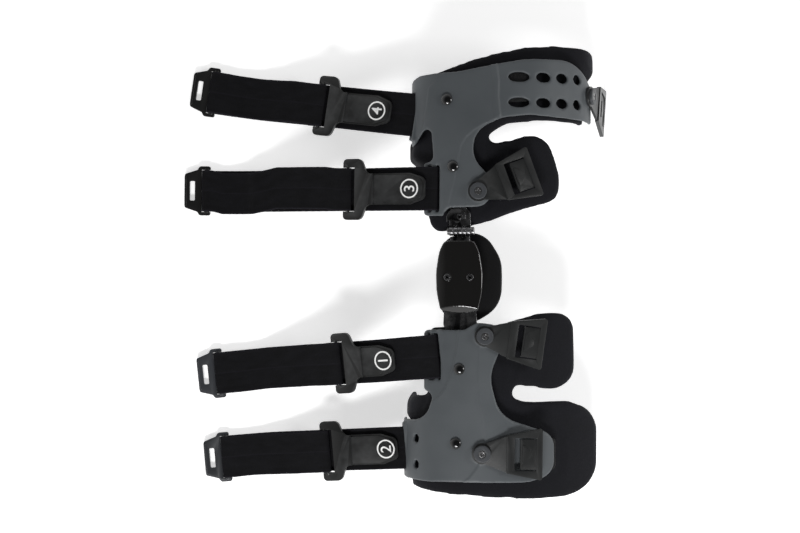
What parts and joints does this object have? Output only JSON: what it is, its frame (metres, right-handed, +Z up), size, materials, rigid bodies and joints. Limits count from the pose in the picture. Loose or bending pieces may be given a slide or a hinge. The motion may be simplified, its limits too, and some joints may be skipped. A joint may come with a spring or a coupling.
{
  "type": "hinged knee brace",
  "caption": "Single-upright hinged knee brace laid flat: moulded thigh and calf cuffs on foam liners, geared hinge, swivelling strap catches and straps with clips and pull tabs.",
  "frame": {"origin": "centre of the knee pad's inner face, on the hinge's own middle line", "axes": "+Y along the leg towards the thigh, +Z up from the surface the brace lies on, +X towards the front of the leg; the upright's outward direction leans 12 degrees from +Z towards -X"},
  "size_m": [0.4119, 0.4194, 0.0977],
  "materials": {
    "shell": "satin moulded plastic with faint ribs",
    "liner": "knit-faced foam, bound at the edge",
    "pad": "knit-faced foam",
    "webbing": "brushed loop webbing",
    "hook": "hook fabric",
    "black_steel": "satin black coat",
    "cover": "high gloss",
    "rivet": "gloss black",
    "catch": "satin moulded plastic",
    "clip": "satin moulded plastic",
    "tab": "matte moulded plastic with a printed ring",
    "bright": "zinc plated"
  },
  "bodies": {
    "calf": {"calf_shell": "shell", "calf_liner": "liner", "calf_hook_patch": "hook", "calf_rivets": "rivet", "calf_bar": "black_steel", "calf_catch_caps": "catch", "calf_catch_screws": "black_steel", "calf_catch_nuts": "bright"},
    "hinge_housing": {"hinge_inner_plate": "black_steel", "hinge_outer_plate": "black_steel", "hinge_pins": "bright", "hinge_spacers": "bright", "extension_stop": "black_steel", "flexion_stop": "black_steel", "hinge_cover": "cover", "hinge_screws": "black_steel", "knee_pad": "pad", "knee_pad_hook": "hook"},
    "upper_link": {"thigh_link": "black_steel"},
    "thigh": {"thigh_shell": "shell", "thigh_liner": "liner", "thigh_hook_patch": "hook", "thigh_rivets": "rivet", "thigh_bar": "black_steel", "tilt_pin": "black_steel", "tilt_screw": "black_steel", "thigh_catch_caps": "catch", "thigh_catch_screws": "black_steel", "thigh_catch_nuts": "bright"},
    "catch_1": {"catch_1": "catch"},
    "catch_2": {"catch_2": "catch"},
    "catch_3": {"catch_3": "catch"},
    "catch_4": {"catch_4": "catch"},
    "strap_1": {"strap_1": "webbing"},
    "clip_1": {"clip_1": "clip"},
    "tab_1": {"tab_1": "tab", "tab_hook_1": "hook"},
    "strap_2": {"strap_2": "webbing"},
    "clip_2": {"clip_2": "clip"},
    "tab_2": {"tab_2": "tab", "tab_hook_2": "hook"},
    "strap_3": {"strap_3": "webbing"},
    "clip_3": {"clip_3": "clip"},
    "tab_3": {"tab_3": "tab", "tab_hook_3": "hook"},
    "strap_4": {"strap_4": "webbing"},
    "clip_4": {"clip_4": "clip"},
    "tab_4": {"tab_4": "tab", "tab_hook_4": "hook"}
  },
  "joints": [
    {"name": "knee_lower_pivot", "type": "hinge", "parent": "calf", "child": "hinge_housing", "pos_m": [-0.00341, -0.013, 0.01604], "axis": [-0.2079, 0, 0.9781], "range_deg": [0, 12]},
    {"name": "knee_upper_pivot", "type": "hinge", "parent": "hinge_housing", "child": "upper_link", "pos_m": [-0.00341, 0.013, 0.01604], "axis": [-0.2079, 0, 0.9781], "range_deg": [0, 12]},
    {"name": "thigh_tilt", "type": "hinge", "parent": "upper_link", "child": "thigh", "pos_m": [-0.00341, 0.042, 0.01604], "axis": [0.9781, 0, 0.2079], "range_deg": [-10, 10]},
    {"name": "catch_1_swivel", "type": "hinge", "parent": "calf", "child": "catch_1", "pos_m": [0.01836, -0.0534, 0.02422], "axis": [-0.0166, 0, 0.9999], "range_deg": [-25, 25]},
    {"name": "catch_2_swivel", "type": "hinge", "parent": "calf", "child": "catch_2", "pos_m": [0.01593, -0.1594, 0.02416], "axis": [-0.0369, 0, 0.9993], "range_deg": [-25, 25]},
    {"name": "catch_3_swivel", "type": "hinge", "parent": "thigh", "child": "catch_3", "pos_m": [0.01271, 0.0779, 0.02437], "axis": [-0.1061, 0, 0.9944], "range_deg": [-25, 25]},
    {"name": "catch_4_swivel", "type": "hinge", "parent": "thigh", "child": "catch_4", "pos_m": [0.11724, 0.168, -0.00898], "axis": [0.891, 0, 0.454], "range_deg": [-25, 25]},
    {"name": "strap_1_swing", "type": "hinge", "parent": "calf", "child": "strap_1", "pos_m": [-0.02638, -0.0725, 0.01339], "axis": [-0.1045, 0.9945, 0], "range_deg": [0, 60]},
    {"name": "clip_1_flip", "type": "hinge", "parent": "strap_1", "child": "clip_1", "pos_m": [-0.234, -0.09432, -0.0617], "axis": [-0.1045, 0.9945, 0], "range_deg": [0, 70]},
    {"name": "tab_1_lift", "type": "hinge", "parent": "strap_1", "child": "tab_1", "pos_m": [-0.117, -0.08203, -0.02417], "axis": [0.1045, -0.9945, 0], "range_deg": [0, 70]},
    {"name": "strap_2_swing", "type": "hinge", "parent": "calf", "child": "strap_2", "pos_m": [-0.05259, -0.161, -0.02475], "axis": [-0.0854, 0.9963, 0], "range_deg": [0, 50]},
    {"name": "clip_2_flip", "type": "hinge", "parent": "strap_2", "child": "clip_2", "pos_m": [-0.2275, -0.176, -0.0617], "axis": [-0.0854, 0.9963, 0], "range_deg": [0, 70]},
    {"name": "tab_2_lift", "type": "hinge", "parent": "strap_2", "child": "tab_2", "pos_m": [-0.129, -0.16755, -0.04136], "axis": [0.0854, -0.9963, 0], "range_deg": [0, 70]},
    {"name": "strap_3_swing", "type": "hinge", "parent": "thigh", "child": "strap_3", "pos_m": [-0.02718, 0.0808, 0.01351], "axis": [0.0122, 0.9999, 0], "range_deg": [0, 60]},
    {"name": "clip_3_flip", "type": "hinge", "parent": "strap_3", "child": "clip_3", "pos_m": [-0.247, 0.08349, -0.0617], "axis": [0.0122, 0.9999, 0], "range_deg": [0, 70]},
    {"name": "tab_3_lift", "type": "hinge", "parent": "strap_3", "child": "tab_3", "pos_m": [-0.107, 0.08178, -0.01338], "axis": [-0.0122, -0.9999, 0], "range_deg": [0, 70]},
    {"name": "strap_4_swing", "type": "hinge", "parent": "thigh", "child": "strap_4", "pos_m": [-0.04472, 0.1505, -0.00894], "axis": [0.1461, 0.9893, 0], "range_deg": [0, 50]},
    {"name": "clip_4_flip", "type": "hinge", "parent": "strap_4", "child": "clip_4", "pos_m": [-0.24, 0.17934, -0.0617], "axis": [0.1461, 0.9893, 0], "range_deg": [0, 70]},
    {"name": "tab_4_lift", "type": "hinge", "parent": "strap_4", "child": "tab_4", "pos_m": [-0.134, 0.16368, -0.03688], "axis": [-0.1461, -0.9893, 0], "range_deg": [0, 70]}
  ],
  "couplings": [
    {"joint": "knee_upper_pivot", "follows": "knee_lower_pivot", "ratio": 1}
  ]
}
